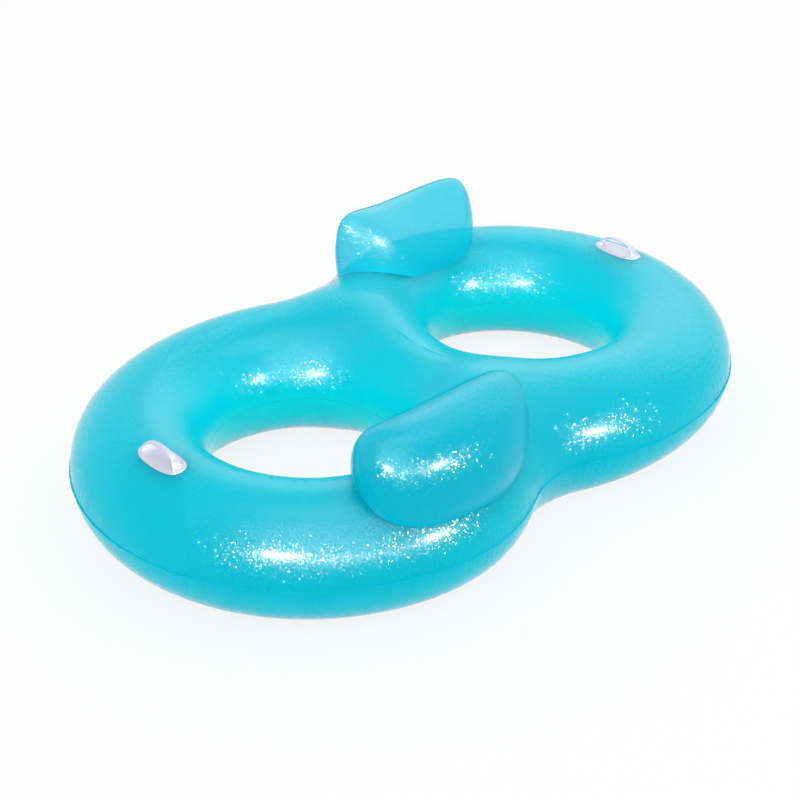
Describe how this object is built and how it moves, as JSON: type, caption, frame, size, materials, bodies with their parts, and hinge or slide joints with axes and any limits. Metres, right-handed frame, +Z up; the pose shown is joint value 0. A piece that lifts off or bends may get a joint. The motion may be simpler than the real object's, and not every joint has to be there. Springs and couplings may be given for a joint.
{
  "type": "double swim ring",
  "caption": "Inflatable figure-of-eight swim ring with two seat holes, welded backrest pillows, moulded grab handles and push-in safety valves.",
  "frame": {"origin": "middle of the footprint, on the floor that the ring lies on", "axes": "+X along both rings towards the far ring, +Y across towards the far backrest, +Z up"},
  "size_m": [1.88, 1.165, 0.4467],
  "materials": {
    "ring_vinyl": "tinted glossy vinyl sheet",
    "backrest_vinyl": "tinted glossy vinyl sheet",
    "handle_pvc": "milky soft moulded PVC",
    "valve_pvc": "milky soft moulded PVC"
  },
  "bodies": {
    "ring": {"ring_top_sheet": "ring_vinyl", "ring_bottom_sheet": "ring_vinyl", "chamber_divider": "ring_vinyl", "backrest_near_front_panel": "backrest_vinyl", "backrest_near_back_panel": "backrest_vinyl", "backrest_far_front_panel": "backrest_vinyl", "backrest_far_back_panel": "backrest_vinyl", "handle_near": "handle_pvc", "handle_far": "handle_pvc", "valve_flange_left": "valve_pvc", "valve_flange_right": "valve_pvc"},
    "stem_left": {"valve_stem_left": "valve_pvc", "valve_tether_left": "valve_pvc"},
    "plug_left": {"valve_plug_left": "valve_pvc"},
    "flap_left": {"valve_check_flap_left": "valve_pvc"},
    "stem_right": {"valve_stem_right": "valve_pvc", "valve_tether_right": "valve_pvc"},
    "plug_right": {"valve_plug_right": "valve_pvc"},
    "flap_right": {"valve_check_flap_right": "valve_pvc"}
  },
  "joints": [
    {"name": "stem_left_slide", "type": "slide", "parent": "ring", "child": "stem_left", "axis": [-0.1907, 0.8295, -0.525], "range_m": [0, 0.0145]},
    {"name": "plug_left_pull", "type": "slide", "parent": "stem_left", "child": "plug_left", "axis": [-0.1907, 0.8295, -0.525], "range_m": [0, 0.012], "deforming": ["valve_tether_left"]},
    {"name": "flap_left_hinge", "type": "hinge", "parent": "stem_left", "child": "flap_left", "pos_m": [-0.47575, 0.52018, 0.09231], "axis": [-0.9746, -0.224, 0], "range_deg": [0, 50]},
    {"name": "stem_right_slide", "type": "slide", "parent": "ring", "child": "stem_right", "axis": [0.2177, 0.8228, -0.525], "range_m": [0, 0.0145]},
    {"name": "plug_right_pull", "type": "slide", "parent": "stem_right", "child": "plug_right", "axis": [0.2177, 0.8228, -0.525], "range_m": [0, 0.012], "deforming": ["valve_tether_right"]},
    {"name": "flap_right_hinge", "type": "hinge", "parent": "stem_right", "child": "flap_right", "pos_m": [0.49229, 0.52033, 0.09231], "axis": [-0.9667, 0.2558, 0], "range_deg": [0, 50]}
  ]
}
